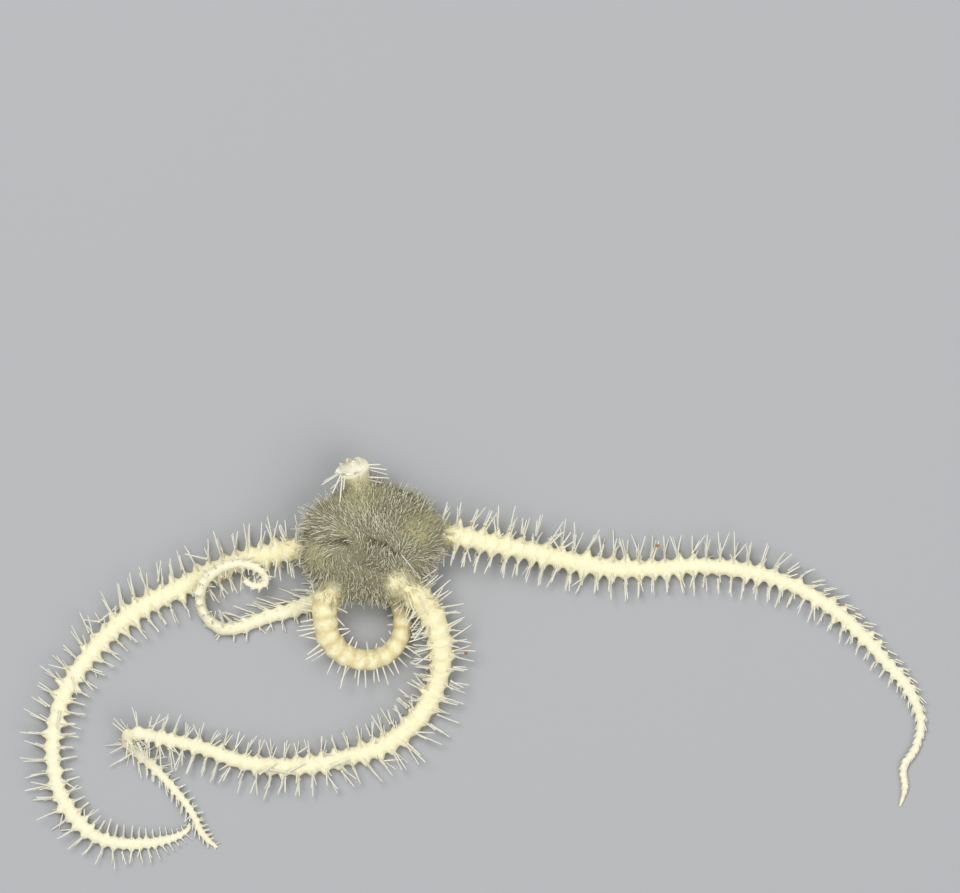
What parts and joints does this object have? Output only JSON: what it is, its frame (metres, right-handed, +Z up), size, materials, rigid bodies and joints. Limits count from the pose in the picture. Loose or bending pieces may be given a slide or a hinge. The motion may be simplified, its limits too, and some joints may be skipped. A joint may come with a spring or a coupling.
{
  "type": "brittle star",
  "caption": "Still, life-size brittle star with a small spiny disc and long, thin, curled arms set with rows of needle spines, one arm broken short.",
  "frame": {"origin": "on the floor, under the middle of the model's bounding box, with the animal resting on its mouth side", "axes": "+Z up out of the animal's back, +X along the length, towards the tip of the arm that lies out to the right, +Y towards the side of the disc that bears the broken arm"},
  "size_m": [0.0755, 0.0336, 0.0063],
  "materials": {
    "arm_plates": "satin, pale cream calcite plates with glassy spines",
    "disc_skin": "matt, grey-beige skin with pale spinelets",
    "mouth_plates": "satin, yellowish jaws"
  },
  "bodies": {
    "root": {"arm_a_01": "arm_plates", "arm_a_02": "arm_plates", "arm_a_03": "arm_plates", "arm_a_04": "arm_plates", "arm_a_05": "arm_plates", "arm_a_06": "arm_plates", "arm_a_07": "arm_plates", "arm_b_01": "arm_plates", "arm_b_02": "arm_plates", "arm_b_03": "arm_plates", "arm_b_04": "arm_plates", "arm_b_05": "arm_plates", "arm_b_06": "arm_plates", "arm_b_07": "arm_plates", "arm_b_08": "arm_plates", "arm_c_01": "arm_plates", "arm_c_02": "arm_plates", "arm_c_03": "arm_plates", "arm_c_04": "arm_plates", "arm_c_05": "arm_plates", "arm_c_06": "arm_plates", "arm_d_01": "arm_plates", "arm_d_02": "arm_plates", "arm_d_03": "arm_plates", "arm_d_04": "arm_plates", "arm_d_05": "arm_plates", "arm_d_06": "arm_plates", "arm_d_07": "arm_plates", "arm_d_08": "arm_plates", "arm_d_09": "arm_plates", "arm_d_10": "arm_plates", "arm_d_11": "arm_plates", "arm_e_stub": "arm_plates", "disc": "disc_skin", "mouth": "mouth_plates"}
  },
  "joints": []
}
